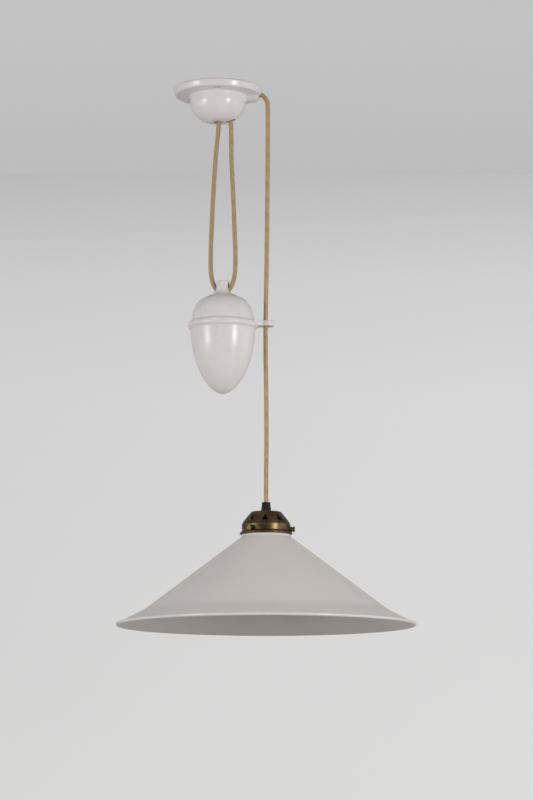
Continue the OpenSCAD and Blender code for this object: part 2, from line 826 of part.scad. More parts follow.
// Tapered grip with the hollow stem that goes through the gallery
module flex_grip() {
    color(black) at_lamp() difference() {
        union() {
            translate([0, 0, gallery_z + grip_h - 1.2])
                cylinder(d = grip_top_d + 0.8, h = 1.2, $fn = small_fn);
            translate([0, 0, gallery_z])
                cylinder(d1 = grip_foot_d, d2 = grip_top_d, h = grip_h - 1, $fn = small_fn);
            translate([0, 0, gallery_z - stem_h])
                cylinder(d = stem_d, h = stem_h + 1, $fn = small_fn);
        }
        translate([0, 0, gallery_z - stem_h - 1])
            cylinder(r = cord_r + fit, h = stem_h + grip_h + 2, $fn = small_fn);
    }
}

module flex_tail() {
    color(flex) at_lamp() translate([0, 0, gallery_z - stem_h - 1])
        cylinder(r = cord_r, h = stem_h + grip_h + 1, $fn = small_fn);
}

function gallery_side(t) = [
    [gallery_top_d / 2 - t * 0.8, gallery_z - t],
    [slope_r - t * 0.6, gallery_z - slope_h + 3 - t * 0.3],
    [skirt_r - t, gallery_z - slope_h - 1],
    [skirt_r - t, gallery_z - gallery_h - t * 0.5]
];

module gallery_outline() {
    flange_r = flange_d / 2;
    top = gallery_z - gallery_h;
    inner = gallery_side(brass_t);
    polygon(concat(
        [[stem_d / 2 + fit, gallery_z]],
        gallery_side(0),
        [[flange_r, top], [flange_r, gallery_foot], [flange_r - brass_t, gallery_foot]],
        [[flange_r - brass_t, top - brass_t], [skirt_r - brass_t, top - brass_t]],
        [for (i = [len(inner) - 1 : -1 : 0]) inner[i]],
        [[stem_d / 2 + fit, gallery_z - brass_t]]
    ));
}

// One vent, looking along the cut: two lobes and a tapering stem
module vent_cut() {
    lobe = vent_lobe_r;
    rotate([90, 0, 90]) linear_extrude(14) {
        translate([-lobe, 0]) circle(r = lobe, $fn = small_fn);
        translate([lobe, 0]) circle(r = lobe, $fn = small_fn);
        polygon([[-lobe * 1.5, 0], [lobe * 1.5, 0], [0.35, 7.1], [-0.35, 7.1]]);
    }
}

module at_thumbscrew(i) {
    at_lamp() rotate([0, 0, thumbscrew_turn - 90 + 360 * i / thumbscrews])
        translate([0, 0, thumbscrew_z]) children();
}

module gallery() {
    color(brass) difference() {
        union() {
            at_lamp() rotate_extrude() gallery_outline();
            for (i = [0 : thumbscrews - 1])
                at_thumbscrew(i) rod_x(0, 0, boss_d / 2, skirt_r - 0.9, skirt_r + boss_t);
        }
        for (i = [0 : thumbscrews - 1])
            at_thumbscrew(i) rod_x(0, 0, thumbscrew_d / 2 + fit, skirt_r - 3, skirt_r + 4);
        at_lamp() for (i = [0 : vents - 1])
            rotate([0, 0, -90 - vent_turn + 360 * i / vents])
                translate([gallery_top_d / 2 - 2, 0, gallery_z - slope_h + 4.3]) vent_cut();
    }
}

module thumbscrew(i) {
    tip = glass_neck_d / 2 + play;
    knob = skirt_r + knob_gap;
    color(brass) at_thumbscrew(i) {
        rod_x(0, 0, thumbscrew_d / 2, tip, knob + 0.5);
        rod_x(0, 0, knob_d / 2, knob, knob + knob_t);
    }
}

module thumbscrew_1() {
    thumbscrew(0);
}

module thumbscrew_2() {
    thumbscrew(1);
}

module thumbscrew_3() {
    thumbscrew(2);
}

// ---- Lampholder ----

module holder_cap() {
    boss_r = stem_d / 2 + 2;
    boss_foot = holder_top - 7;
    side_top = holder_seam + 7;
    color(bright_brass) at_lamp() rotate_extrude() polygon([
        [stem_d / 2 + fit, holder_top], [boss_r, holder_top], [boss_r, boss_foot + 2],
        [holder_r - 3, side_top], [holder_r, side_top - 3], [holder_r, holder_seam],
        [holder_r - holder_wall, holder_seam], [holder_r - holder_wall, side_top - 4],
        [holder_r - 4, side_top - 2], [boss_r, boss_foot], [stem_d / 2 + fit, boss_foot]
    ]);
}

module holder_cores() {
    top = gallery_z - stem_h - 1;
    at_lamp() for (i = [0 : 1])
        color([brown, blue][i]) tube(
            [
                [(i - 0.5) * 2.6, 0, top],
                [(i - 0.5) * 5, 0, top - 1.2],
                [(i - 0.5) * 12, 0, insert_top + 1.4],
                [(i - 0.5) * 16, 0, insert_top]
            ],
            core_r, [0, 0, -1], [0, 0, -1], 6
        );
}

module holder_insert() {
    color(white) at_lamp() difference() {
        translate([0, 0, insert_foot]) cylinder(r = insert_r, h = insert_h);
        for (x = [-8, 8])
            translate([x, 0, insert_top - 5]) cylinder(r = 2.2, h = 6, $fn = small_fn);
        for (x = [-8, 8])
            translate([x, 6, insert_top - 5]) cylinder(r = 1.5 + fit, h = 6, $fn = small_fn);
        translate([0, 0, insert_foot - eps]) cylinder(r = 8.5, h = contact_z - insert_foot + eps);
    }
}

// Contact strip with its domed middle, in a pocket under the insert
module holder_contacts() {
    color(bright_brass) at_lamp() {
        translate([-7, -2.5, contact_z - sheet_t]) cube([14, 5, sheet_t]);
        translate([0, 0, contact_z - sheet_t - 1.6])
            cylinder(d1 = 4, d2 = 7, h = 1.6 + eps, $fn = small_fn);
    }
}

module holder_screws() {
    color(steel) at_lamp() for (x = [-8, 8]) translate([x, 6, insert_top]) {
        translate([0, 0, -4]) cylinder(r = 1.5, h = 4.5, $fn = small_fn);
        cylinder(r = 2.6, h = 1.4, $fn = small_fn);
    }
}

// Threaded sleeve that takes the lamp
module holder_thread() {
    outer = thread_r + sheet_t + 0.9;
    color(bright_brass) at_lamp() difference() {
        translate([0, 0, thread_foot]) cylinder(r = outer, h = thread_h);
        translate([0, 0, thread_foot - 1]) cylinder(r = thread_r, h = thread_h + 2);
    }
}

module holder_shell() {
    inner = thread_r + sheet_t + 0.9 + fit;
    color(black) at_lamp() difference() {
        translate([0, 0, holder_foot]) cylinder(r1 = holder_r - 1, r2 = holder_r, h = holder_shell_h);
        translate([0, 0, holder_foot - 1]) cylinder(r = inner, h = holder_shell_h);
        translate([0, 0, insert_foot]) cylinder(r = insert_r + fit, h = holder_shell_h);
    }
}

// ---- Shade ----

// Outer line of the glass, from the neck under the lip to the rim's bead
function shade_line() =
    let (
        neck = [glass_neck_d / 2, lip_foot - 3.6],
        shoulder = [shoulder_d / 2, shoulder_z],
        knee = [knee_d / 2, knee_z],
        rim = [shade_d / 2 - rim_bead_d, rim_z + rim_bead_d / 2 + glass_t / 2 + 1]
    )
        concat(
            [[neck[0], lip_foot]],
            bend(neck, neck + [0.4, -4], [shoulder[0] - 0.9, gallery_foot + 1.9], 4),
            bend([shoulder[0] - 0.7, gallery_foot], shoulder, mix(shoulder, knee, 0.02), 3),
            bend(mix(knee, shoulder, 0.2), knee, mix(knee, rim, 0.7), 6),
            [rim]
        );

module shade_outline() {
    outer = shade_line();
    inner = beside(outer, -glass_t);
    lip_r = lip_d / 2;
    polygon(concat(
        [[inner[0][0], lip_top], [lip_r - 1, lip_top], [lip_r, lip_top - 1]],
        [[lip_r, lip_foot + 0.8], [lip_r - 0.8, lip_foot]],
        outer,
        arc(shade_d / 2 - rim_bead_d / 2, rim_z + rim_bead_d / 2, rim_bead_d / 2, 75, -130, 10),
        [for (i = [len(inner) - 1 : -1 : 0]) inner[i]]
    ));
}

module glass_shade() {
    color(opal) at_lamp() rotate_extrude($fn = 160) shade_outline();
}

ceiling_rose();
rose_screws();
rose_strap();
rose_pulley();
rose_pulley_pin();
flex_clamp_bar();
flex_clamp_screws();
terminal_block();
terminal_tubes();
terminal_screws();
terminal_block_screw();
rose_flex_end();
rose_cores();
flex_over_pulley();
flex_fixed_strand();
flex_running_strand();
flex_drop();
flex_weight_loop();
weight_cap();
weight_cup();
weight_cement();
weight_shot();
weight_roller();
weight_roller_pin();
flex_grip();
flex_tail();
gallery();
thumbscrew_1();
thumbscrew_2();
thumbscrew_3();
holder_cap();
holder_cores();
holder_insert();
holder_contacts();
holder_screws();
holder_thread();
holder_shell();
glass_shade();
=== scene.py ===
import math
import random

import bmesh
import bpy
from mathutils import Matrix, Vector


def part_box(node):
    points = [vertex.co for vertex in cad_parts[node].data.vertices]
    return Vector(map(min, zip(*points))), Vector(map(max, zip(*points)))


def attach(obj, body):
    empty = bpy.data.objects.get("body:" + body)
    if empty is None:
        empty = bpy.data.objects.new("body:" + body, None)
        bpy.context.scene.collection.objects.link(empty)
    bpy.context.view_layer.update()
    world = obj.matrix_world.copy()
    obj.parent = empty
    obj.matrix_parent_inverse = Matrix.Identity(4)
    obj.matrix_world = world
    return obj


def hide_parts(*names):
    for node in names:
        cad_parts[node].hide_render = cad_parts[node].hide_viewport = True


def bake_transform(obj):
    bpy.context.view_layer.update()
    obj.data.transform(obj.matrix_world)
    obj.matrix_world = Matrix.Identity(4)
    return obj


# Rise and fall pendant: a porcelain ceiling rose with a pulley, a porcelain counterweight in a
# loop of braided flex, and an opal glass coolie shade on a brass gallery.
# Lengths are in millimetres up to the mesh, where MM turns them into metres.

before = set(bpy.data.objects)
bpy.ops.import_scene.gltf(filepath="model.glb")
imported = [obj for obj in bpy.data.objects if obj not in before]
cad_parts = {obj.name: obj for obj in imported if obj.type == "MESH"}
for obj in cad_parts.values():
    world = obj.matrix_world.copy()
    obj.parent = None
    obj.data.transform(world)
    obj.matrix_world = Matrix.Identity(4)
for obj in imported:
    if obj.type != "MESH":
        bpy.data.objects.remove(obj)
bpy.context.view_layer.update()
random.seed(7)

MM = 0.001


def node_mm(node):
    """A CAD node's lowest and highest corners, in millimetres."""
    low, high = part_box(node)
    return [v / MM for v in low], [v / MM for v in high]


# ---- Camera ----

LENS_MM = 84
SENSOR_MM = 24
CAMERA_AT = (0.0665, -3.732, -0.9947)
CAMERA_UP_DEG = 8.589

camera_data = bpy.data.cameras.new("camera")
camera_data.lens = LENS_MM
camera_data.sensor_fit = "AUTO"
camera_data.sensor_width = SENSOR_MM
camera = bpy.data.objects.new("camera", camera_data)
camera.location = CAMERA_AT
camera.rotation_euler = (math.radians(90 + CAMERA_UP_DEG), 0, 0)
bpy.context.collection.objects.link(camera)
bpy.context.scene.camera = camera


# ---- Mesh helpers ----


def piece(name, mesh):
    obj = bpy.data.objects.new(name, mesh)
    bpy.context.collection.objects.link(obj)
    return obj


def mesh_of(name, verts, faces, sharp_deg=None):
    """A smooth mesh from points in millimetres, with edges over sharp_deg kept sharp."""
    mesh = bpy.data.meshes.new(name)
    mesh.from_pydata([tuple(c * MM for c in v) for v in verts], [], faces)
    mesh.shade_smooth()
    if sharp_deg:
        mesh.set_sharp_from_angle(angle=math.radians(sharp_deg))
    mesh.update()
    return mesh


def outward(mesh):
    """Turns the mesh's faces outwards."""
    bm = bmesh.new()
    bm.from_mesh(mesh)
    bmesh.ops.recalc_face_normals(bm, faces=bm.faces)
    bm.to_mesh(mesh)
    bm.free()
    return mesh


def settle(obj):
    """Applies the piece's modifiers to its mesh."""
    graph = bpy.context.evaluated_depsgraph_get()
    graph.update()
    done = bpy.data.meshes.new_from_object(obj.evaluated_get(graph))
    obj.modifiers.clear()
    obj.data = done
    return obj


def rounded(corners, steps=6):
    """A line through (r, z, radius) corners, with each corner rounded to its radius."""
    line = []
    for i, (r, z, radius) in enumerate(corners):
        at = Vector((r, z))
        if not radius or i in (0, len(corners) - 1):
            line.append(at)
            continue
        back = (Vector(corners[i - 1][:2]) - at).normalized()
        on = (Vector(corners[i + 1][:2]) - at).normalized()
        half = back.angle(on) / 2
        reach = radius / math.tan(half)
        centre = at + (back + on).normalized() * radius / math.sin(half)
        start, end = at + back * reach - centre, at + on * reach - centre
        turn = start.angle_signed(end)
        for k in range(steps + 1):
            a = -turn * k / steps
            c, s = math.cos(a), math.sin(a)
            line.append(centre + Vector((start.x * c - start.y * s, start.x * s + start.y * c)))
    return [(p.x, p.y) for p in line]


def circle_arc(cx, cz, radius, start_deg, end_deg, steps):
    line = []
    for k in range(steps + 1):
        a = math.radians(start_deg + (end_deg - start_deg) * k / steps)
        line.append((cx + radius * math.cos(a), cz + radius * math.sin(a)))
    return line


def offset(line, by):
    """The line moved sideways by so much, to the left of its direction."""
    moved = []
    for i, p in enumerate(line):
        a, b = Vector(line[max(i - 1, 0)]), Vector(line[min(i + 1, len(line) - 1)])
        d = (b - a).normalized()
        moved.append((p[0] - d.y * by, p[1] + d.x * by))
    return moved


def lathe(name, profile, axis_x, segments=192, closed=True, sharp_deg=40):
    """A profile of (r, z) turned about the vertical line at axis_x. A point at r 0 is a pole."""
    verts, rings = [], []
    for r, z in profile:
        if r < 1e-6:
            rings.append([len(verts)] * segments)
            verts.append((axis_x, 0, z))
            continue
        rings.append(list(range(len(verts), len(verts) + segments)))
        for k in range(segments):
            a = math.tau * k / segments
            verts.append((axis_x + r * math.cos(a), r * math.sin(a), z))
    faces = []
    last = len(rings) if closed else len(rings) - 1
    for i in range(last):
        a, b = rings[i], rings[(i + 1) % len(rings)]
        for k in range(segments):
            n = (k + 1) % segments
            corners = []
            for v in (a[k], b[k], b[n], a[n]):
                if v not in corners:
                    corners.append(v)
            if len(corners) > 2:
                faces.append(corners)
    return piece(name, outward(mesh_of(name, verts, faces, sharp_deg)))


def glazed_copy(name, node, voxel_mm, smoothing):
    """A skin over a CAD node with its edges rounded, as glaze rounds them."""
    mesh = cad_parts[node].data.copy()
    bm = bmesh.new()
    bm.from_mesh(mesh)
    bmesh.ops.remove_doubles(bm, verts=bm.verts, dist=1e-6)
    bm.to_mesh(mesh)
    bm.free()
    obj = piece(name, mesh)
    remesh = obj.modifiers.new("remesh", "REMESH")
    remesh.mode = "VOXEL"
    remesh.voxel_size = voxel_mm * MM
    remesh.use_smooth_shade = True
    smooth = obj.modifiers.new("smooth", "SMOOTH")
    smooth.factor = 0.5
    smooth.iterations = smoothing
    settle(obj)
    obj.data.shade_smooth()
    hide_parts(node)
    return obj


def dress(obj, material, body=None):
    """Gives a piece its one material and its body."""
    obj.data.materials.clear()
    obj.data.materials.append(material)
    if body:
        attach(obj, body)
    return obj


# ---- Material helpers ----


class Nodes:
    """Builds one material's node tree."""

    def __init__(self, name):
        self.material = bpy.data.materials.new(name)
        self.material.use_nodes = True
        self.tree = self.material.node_tree
        self.shader = self.tree.nodes["Principled BSDF"]
        self.place = None

    def new(self, kind, **values):
        node = self.tree.nodes.new("ShaderNode" + kind)
        for key, value in values.items():
            setattr(node, key, value)
        return node

    def link(self, source, target):
        self.tree.links.new(source, target)

    def where(self):
        if self.place is None:
            self.place = self.new("TexCoord").outputs["Object"]
        return self.place

    def stretched(self, scale):
        mapping = self.new("Mapping")
        mapping.inputs["Scale"].default_value = scale
        self.link(self.where(), mapping.inputs["Vector"])
        return mapping.outputs["Vector"]

    def noise(self, scale, detail=3, rough=0.55, vector=None):
        node = self.new("TexNoise")
        node.inputs["Scale"].default_value = scale
        node.inputs["Detail"].default_value = detail
        node.inputs["Roughness"].default_value = rough
        self.link(vector or self.where(), node.inputs["Vector"])
        return node.outputs["Fac"]

    def ramp(self, fac, stops):
        node = self.new("ValToRGB")
        ramp = node.color_ramp
        for element, (at, colour) in zip(ramp.elements, stops[:2]):
            element.position = at
            element.color = (*colour, 1)
        for at, colour in stops[2:]:
            ramp.elements.new(at).color = (*colour, 1)
        self.link(fac, node.inputs["Fac"])
        return node.outputs["Color"]

    def spread(self, fac, low, high, from_low=0.3, from_high=0.7):
        node = self.new("MapRange")
        node.inputs["From Min"].default_value = from_low
        node.inputs["From Max"].default_value = from_high
        node.inputs["To Min"].default_value = low
        node.inputs["To Max"].default_value = high
        self.link(fac, node.inputs["Value"])
        return node.outputs["Result"]

    def mix(self, fac, a, b, blend="MIX"):
        node = self.new("Mix", data_type="RGBA", blend_type=blend)
        for value, socket in ((fac, "Factor"), (a, "A"), (b, "B")):
            target = [
                s for s in node.inputs
                if s.name == socket and s.type == ("VALUE" if socket == "Factor" else "RGBA")
            ][0]
            if isinstance(value, bpy.types.NodeSocket):
                self.link(value, target)
            elif socket == "Factor":
                target.default_value = value
            else:
                target.default_value = (*value, 1)
        return [s for s in node.outputs if s.type == "RGBA"][0]

    def bump(self, height, distance_mm, strength=1.0, under=None):
        node = self.new("Bump")
        node.inputs["Strength"].default_value = strength
        node.inputs["Distance"].default_value = distance_mm * MM
        self.link(height, node.inputs["Height"])
        if under:
            self.link(under, node.inputs["Normal"])
        return node.outputs["Normal"]

    def set(self, **sockets):
        for key, value in sockets.items():
            target = self.shader.inputs[key.replace("_", " ")]
            if isinstance(value, bpy.types.NodeSocket):
                self.link(value, target)
            else:
                target.default_value = value
        return self.material


def porcelain():
    n = Nodes("white_porcelain")
    tone = n.ramp(n.noise(14, 4), [(0.35, (0.735, 0.687, 0.688)), (0.65, (0.768, 0.722, 0.728))])
    specks = n.ramp(n.noise(2600, 2), [(0.745, (1, 1, 1)), (0.80, (0.62, 0.55, 0.50))])
    waves = n.bump(n.noise(55, 2, 0.4), 0.05)
    return n.set(
        Base_Color=n.mix(1.0, tone, specks, "MULTIPLY"),
        Roughness=n.spread(n.noise(30), 0.24, 0.28),
        Normal=n.bump(n.noise(420, 2), 0.006, under=waves),
        Subsurface_Weight=0.08,
        Subsurface_Radius=(1.0, 0.8, 0.7),
        Subsurface_Scale=0.003,
        IOR=1.52,
    )


def opal_glass():
    n = Nodes("opal_glass")
    tone = n.ramp(n.noise(6, 3), [(0.35, (0.730, 0.684, 0.656)), (0.65, (0.755, 0.712, 0.686))])
    ripple = n.bump(n.noise(18, 2, 0.4), 0.06)
    return n.set(
        Base_Color=tone,
        Roughness=n.spread(n.noise(20), 0.20, 0.27),
        Normal=n.bump(n.noise(300, 2), 0.004, under=ripple),
        Subsurface_Weight=0.12,
        Subsurface_Radius=(1.0, 0.9, 0.8),
        Subsurface_Scale=0.004,
        IOR=1.5,
    )


def aged_brass():
    n = Nodes("aged_brass")
    patches = n.noise(90, 5, 0.65)
    spun = n.noise(220, 3, 0.6, n.stretched((0.3, 0.3, 9)))
    tone = n.ramp(
        patches, [(0.30, (0.070, 0.043, 0.018)), (0.72, (0.270, 0.195, 0.105))]
    )
    streaks = n.ramp(spun, [(0.30, (0.70, 0.68, 0.66)), (0.70, (1.0, 1.0, 1.0))])
    return n.set(
        Base_Color=n.mix(1.0, tone, streaks, "MULTIPLY"),
        Metallic=1.0,
        Roughness=n.spread(n.noise(140, 4), 0.30, 0.46),
        Normal=n.bump(spun, 0.02, under=n.bump(n.noise(1500, 2), 0.01)),
    )


def bright_metal(name, dark, light, roughness, scale=260):
    n = Nodes(name)
    turned = n.noise(scale, 3, 0.6, n.stretched((1, 1, 5)))
    return n.set(
        Base_Color=n.ramp(n.noise(120, 4), [(0.35, dark), (0.65, light)]),
        Metallic=1.0,
        Roughness=n.spread(turned, roughness, roughness + 0.12),
        Normal=n.bump(turned, 0.01),
    )


def moulded(name, dark, light, roughness, grain=900):
    n = Nodes(name)
    return n.set(
        Base_Color=n.ramp(n.noise(70, 4), [(0.35, dark), (0.65, light)]),
        Roughness=n.spread(n.noise(200), roughness, roughness + 0.12),
        Normal=n.bump(n.noise(grain, 2), 0.02),
        Specular_IOR_Level=0.4,
    )


def braid():
    n = Nodes("flex_braid")
    yarn = n.new("Attribute", attribute_name="yarn")
    split = n.new("SeparateColor")
    n.link(yarn.outputs["Color"], split.inputs["Color"])
    dye = n.ramp(
        split.outputs["Green"],
        [(0.0, (0.400, 0.276, 0.124)), (1.0, (0.690, 0.512, 0.278)), (0.5, (0.550, 0.395, 0.195))],
    )
    # Painted shade: the braid's height, held in red, darkens the gaps between the yarns
    painted_gap_shade = n.ramp(split.outputs["Red"], [(0.0, (0.26, 0.22, 0.17)), (0.85, (1, 1, 1))])
    return n.set(
        Base_Color=n.mix(1.0, dye, painted_gap_shade, "MULTIPLY"),
        Roughness=0.62,
        Sheen_Weight=0.25,
        Sheen_Roughness=0.4,
        Sheen_Tint=(1.0, 0.9, 0.7, 1),
    )


PORCELAIN = porcelain()
OPAL = opal_glass()
BRASS = aged_brass()
BRIGHT_BRASS = bright_metal("bright_brass", (0.62, 0.44, 0.17), (0.74, 0.55, 0.25), 0.24)
# Brass painted dark for the shade that falls on the lampholder's cap inside the gallery
PAINTED_SHADE_BRASS = bright_metal("painted_shade_brass", (0.050, 0.034, 0.015), (0.090, 0.062, 0.028), 0.50)
STEEL = bright_metal("zinc_steel", (0.50, 0.51, 0.53), (0.62, 0.63, 0.65), 0.30)
BLACK = moulded("black_plastic", (0.003, 0.0025, 0.0025), (0.006, 0.005, 0.005), 0.55)
SLEEVE = moulded("core_sleeves", (0.05, 0.10, 0.30), (0.07, 0.13, 0.36), 0.35)
CEMENT = moulded("cement", (0.45, 0.43, 0.38), (0.58, 0.56, 0.50), 0.80)
SHOT = moulded("shot", (0.10, 0.10, 0.11), (0.20, 0.20, 0.21), 0.50)
BRAID = braid()

# ---- Flex ----

FLEX_D = 6.2
FLEX_STEP = 0.55
FLEX_SIDES = 48
BRAID_CARRIERS = 8
BRAID_PITCH = 21.0
YARN_H = 0.28

# The routes repeat those of the CAD source, in millimetres
FIXED_ROUTE = [
    (1.4, 0, -24), (1.4, 0, -40), (0.6, 0, -58), (-1, 0.2, -76), (-2.9, 0.5, -96),
    (-4.3, 0.9, -118), (-5.7, 1.4, -141), (-6.8, 1.9, -163), (-7.7, 2.4, -185),
    (-8.6, 2.9, -206), (-9.2, 3.4, -226),
]
RUNNING_ROUTE = [
    (15, 0, -19.7), (16, 0, -36), (18, 0, -54), (18.4, -0.1, -74), (18.7, -0.3, -96),
    (19.5, -0.7, -118), (20.8, -1.2, -141), (21.8, -1.8, -163), (22.6, -2.4, -185),
    (23.4, -2.9, -206), (24.2, -3.4, -226),
]
DROP_ROUTE = [
    (68.3, 0, -24), (68.3, 0, -60), (68.2, 0, -100), (67.8, 0, -140), (67.4, 0, -180),
    (67, 0, -220), (66.5, 0, -260), (65.7, 0, -300), (65.3, 0, -340), (65.5, 0, -380),
    (66.1, 0, -420), (66.5, 0, -460), (66.5, 0, -496), (66.1, 0, -530), (66, 0, -552),
    (66, 0, -572),
]
LOOP_HALF = [(17.2, 24), (16.8, 13), (15.2, 2.2), (11.8, -7.6), (6.4, -13.5), (0, -15.3)]
NECK_X = 7.5
NECK_TOP = -267.7
NECK_TURN_DEG = 12
PULLEY_X = 25.5
PULLEY_Z = -19.7
TURN_R = 10.5
MOUTH_ROUTE = [
    (35, -8.8), (45, -7.8), (52, -7.7), (57, -8), (61.5, -9.4), (64.6, -12.4), (66.9, -16.6),
    (68, -20.5),
]


def loop_leg(side):
    """Half of the loop through the neck: side -1 is the fixed strand's."""
    c, s = math.cos(math.radians(NECK_TURN_DEG)), math.sin(math.radians(NECK_TURN_DEG))
    return [
        (NECK_X + side * across * c, -side * across * s, NECK_TOP + up) for across, up in LOOP_HALF
    ]


def over_pulley():
    """From the side of the rose's pulley, over it, through the spout and round its mouth."""
    over = circle_arc(PULLEY_X, PULLEY_Z, TURN_R, 180, 90, 6)
    return [(x, 0, z) for x, z in over + MOUTH_ROUTE]


def spaced(route, step):
    """Points along a smooth curve through the route, a step apart."""
    fine = []
    points = [Vector(p) for p in route]
    for i in range(len(points) - 1):
        a, b = points[max(i - 1, 0)], points[i]
        c, d = points[i + 1], points[min(i + 2, len(points) - 1)]
        for k in range(24):
            t = k / 24
            fine.append(
                0.5 * (2 * b + (c - a) * t + (2 * a - 5 * b + 4 * c - d) * t * t
                       + (3 * b - a - 3 * c + d) * t ** 3)
            )
    fine.append(points[-1])
    reach = [0.0]
    for a, b in zip(fine, fine[1:]):
        reach.append(reach[-1] + (b - a).length)
    count = round(reach[-1] / step)
    line, j = [], 0
    for i in range(count + 1):
        want = reach[-1] * i / count
        while j < len(reach) - 2 and reach[j + 1] < want:
            j += 1
        line.append(fine[j].lerp(fine[j + 1], (want - reach[j]) / (reach[j + 1] - reach[j])))
    return line, reach[-1]


def braid_at(turn, along):
    """Height of the braid from 0 to 1 and the yarn on top, at a turn from 0 to 1."""
    a = BRAID_CARRIERS * (turn + along / BRAID_PITCH)
    b = BRAID_CARRIERS * (turn - along / BRAID_PITCH)
    ia, ib = math.floor(a), math.floor(b)
    over, under = (a - ia, b - ib) if (ia + ib) % 2 == 0 else (b - ib, a - ia)
    yarn = ia % BRAID_CARRIERS if (ia + ib) % 2 == 0 else BRAID_CARRIERS + ib % BRAID_CARRIERS
    return math.sin(math.pi * over) ** 0.6 * (0.55 + 0.45 * math.sin(math.pi * under)), yarn


def braided(name, route):
    """A round braided flex along a route, with its yarns in relief."""
    line, length = spaced(route, FLEX_STEP)
    shades = [random.random() for _ in range(2 * BRAID_CARRIERS)]
    verts, yarn_dye_and_gap_shade = [], []
    for i, p in enumerate(line):
        d = (line[min(i + 1, len(line) - 1)] - line[max(i - 1, 0)]).normalized()
        across = d.cross(Vector((0, 1, 0))).normalized()
        up = across.cross(d)
        along = length * i / (len(line) - 1)
        for k in range(FLEX_SIDES):
            turn = k / FLEX_SIDES
            height, yarn = braid_at(turn, along)
            r = FLEX_D / 2 - YARN_H * (1 - height)
            a = math.tau * turn
            verts.append(tuple(p + across * r * math.cos(a) + up * r * math.sin(a)))
            # Red holds the braid's height, which the material turns into painted shade in the gaps;
            # green holds the yarn's dye
            yarn_dye_and_gap_shade.append((height, shades[yarn] * 0.7 + random.random() * 0.3, 0, 1))
    faces = []
    for i in range(len(line) - 1):
        for k in range(FLEX_SIDES):
            n = (k + 1) % FLEX_SIDES
            row = i * FLEX_SIDES
            faces.append((row + k, row + n, row + FLEX_SIDES + n, row + FLEX_SIDES + k))
    faces.append(tuple(range(FLEX_SIDES)))
    faces.append(tuple(reversed(range(len(verts) - FLEX_SIDES, len(verts)))))
    mesh = mesh_of(name, verts, faces)
    colours = mesh.color_attributes.new("yarn", "FLOAT_COLOR", "POINT")
    for item, tone in zip(colours.data, yarn_dye_and_gap_shade):
        item.color = tone
    obj = piece(name, outward(mesh))
    dress(obj, BRAID)
    path = [[c * MM for c in p] for p in line[::4] + [line[-1]]]
    return obj, length * MM, path


def free_flex(name, route, nodes):
    """A braided strand that stretches between the rose and a moving body."""
    obj, length, path = braided(name, route)
    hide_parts(*nodes)
    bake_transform(obj)
    return obj


free_flex(
    "braided_fixed_strand", FIXED_ROUTE + loop_leg(-1),
    ["flex_fixed_strand", "flex_weight_loop"],
)
free_flex(
    "braided_running_strand", RUNNING_ROUTE + loop_leg(1),
    ["flex_running_strand"],
)
free_flex(
    "braided_drop", over_pulley() + DROP_ROUTE,
    ["flex_over_pulley", "flex_drop"],
)

# ---- Porcelain ----

rose = glazed_copy("glazed_rose", "ceiling_rose", 0.6, 5)
dress(rose, PORCELAIN, "rose")
cap = glazed_copy("glazed_weight_cap", "weight_cap", 0.7, 6)
dress(cap, PORCELAIN, "counterweight")
cup = glazed_copy("glazed_weight_cup", "weight_cup", 0.8, 6)
dress(cup, PORCELAIN, "counterweight")

# ---- Lamp ----

LAMP_X = 66
shade_low, shade_high = node_mm("glass_shade")
gallery_low, gallery_high = node_mm("gallery")
grip_low, grip_high = node_mm("flex_grip")

GLASS_T = 2.9
RIM_R = (shade_high[0] - shade_low[0]) / 2
RIM_Z = shade_low[2]
LIP_TOP = shade_high[2]
LIP_FOOT = LIP_TOP - 3.4
LIP_R = 30
GLASS_NECK_R = 27.5
SHOULDER_R = 33.2
SHOULDER_Z = gallery_low[2] - 3
KNEE_R = 163
KNEE_Z = RIM_Z + 20.6
RIM_BEAD_R = 2.1
# The outside's first points, at the neck, that the inside doesn't follow
NECK_POINTS = 12


def shade_profile():
    """The shade's section: lip, neck, cone, flared rim with its bead, and back along the inside."""
    outer = rounded([
        (GLASS_NECK_R, LIP_FOOT, 0),
        (GLASS_NECK_R, gallery_low[2] + 3, 3),
        (SHOULDER_R - 0.7, gallery_low[2] + 0.6, 1.2),
        (SHOULDER_R, SHOULDER_Z, 2.2),
        (KNEE_R, KNEE_Z, 90),
        (RIM_R - 1.6 * RIM_BEAD_R, RIM_Z + 1.75 * RIM_BEAD_R, 0),
    ], 10)
    inner = offset(outer[NECK_POINTS:], -GLASS_T)
    bore = GLASS_NECK_R - GLASS_T
    lip = rounded([
        (bore, LIP_TOP, 0), (LIP_R, LIP_TOP, 0.8), (LIP_R, LIP_FOOT, 0.8), (GLASS_NECK_R, LIP_FOOT, 0)
    ], 4)
    bead = circle_arc(RIM_R - RIM_BEAD_R, RIM_Z + RIM_BEAD_R, RIM_BEAD_R, 100, -130, 14)
    back = [p for p in reversed(inner) if p[0] > bore + 0.2]
    return lip[:-1] + outer + bead + back + [(bore, gallery_low[2] - 1)]


shade = lathe("opal_shade", shade_profile(), LAMP_X, 256)
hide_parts("glass_shade")
dress(shade, OPAL, "lamp")

GALLERY_TOP = grip_low[2] + 11
STEM_R = 5
CROWN_R = 20
SLOPE_FOOT_R = 30.4
SLOPE_H = 12.9
SHOULDER_H = 17.2
SKIRT_R = 32.7
SKIRT_H = 26.2
FLANGE_R = 35.2
BRASS_T = 1
ROLL_R = 1.9
VENTS = 9
VENT_TURN_DEG = 2.6
VENT_LOBE_R = 1.8
VENT_INNER_REACH = 17
VENT_OUTER_REACH = 34
VENT_Z = GALLERY_TOP - 11.7


